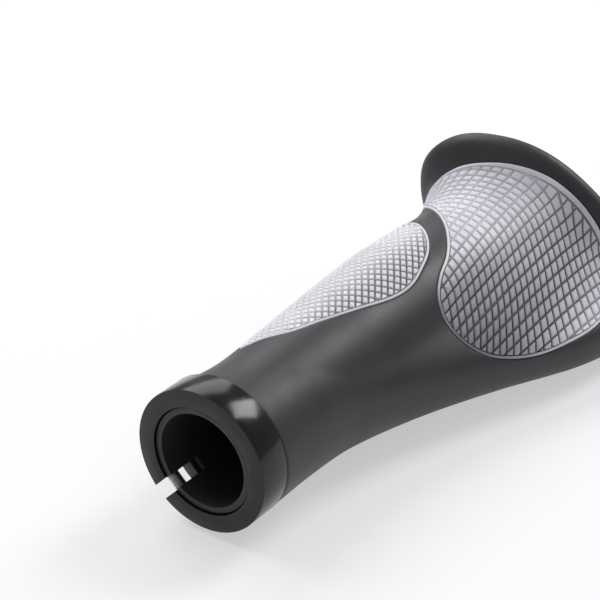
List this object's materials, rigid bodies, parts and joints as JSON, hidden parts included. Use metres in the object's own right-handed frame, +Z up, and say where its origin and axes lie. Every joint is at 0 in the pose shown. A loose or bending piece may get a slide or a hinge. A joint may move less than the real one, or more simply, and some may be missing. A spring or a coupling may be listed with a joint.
{
  "type": "handlebar grip",
  "caption": "Clamp-on handlebar grip with a winged palm rest, a raised outer lip and two inlaid textured pads.",
  "frame": {"origin": "centre of the handlebar bore at the clamp ring's inboard face", "axes": "+X along the bore towards the outer end, +Z up, the palm wing towards -Y and a little below it"},
  "size_m": [0.1341, 0.0646, 0.0472],
  "materials": {
    "sleeve_plastic": "satin black nylon",
    "body_rubber": "satin dark grey rubber",
    "pad_rubber": "satin light grey rubber",
    "ring_aluminium": "gloss black anodised",
    "screw_steel": "black oxide",
    "plug_plastic": "satin black plastic"
  },
  "bodies": {
    "root": {"core_sleeve": "sleeve_plastic", "grip_body": "body_rubber", "palm_pad": "pad_rubber", "finger_pad": "pad_rubber", "clamp_ring": "ring_aluminium", "clamp_screw": "screw_steel", "end_plug": "plug_plastic"}
  },
  "joints": []
}
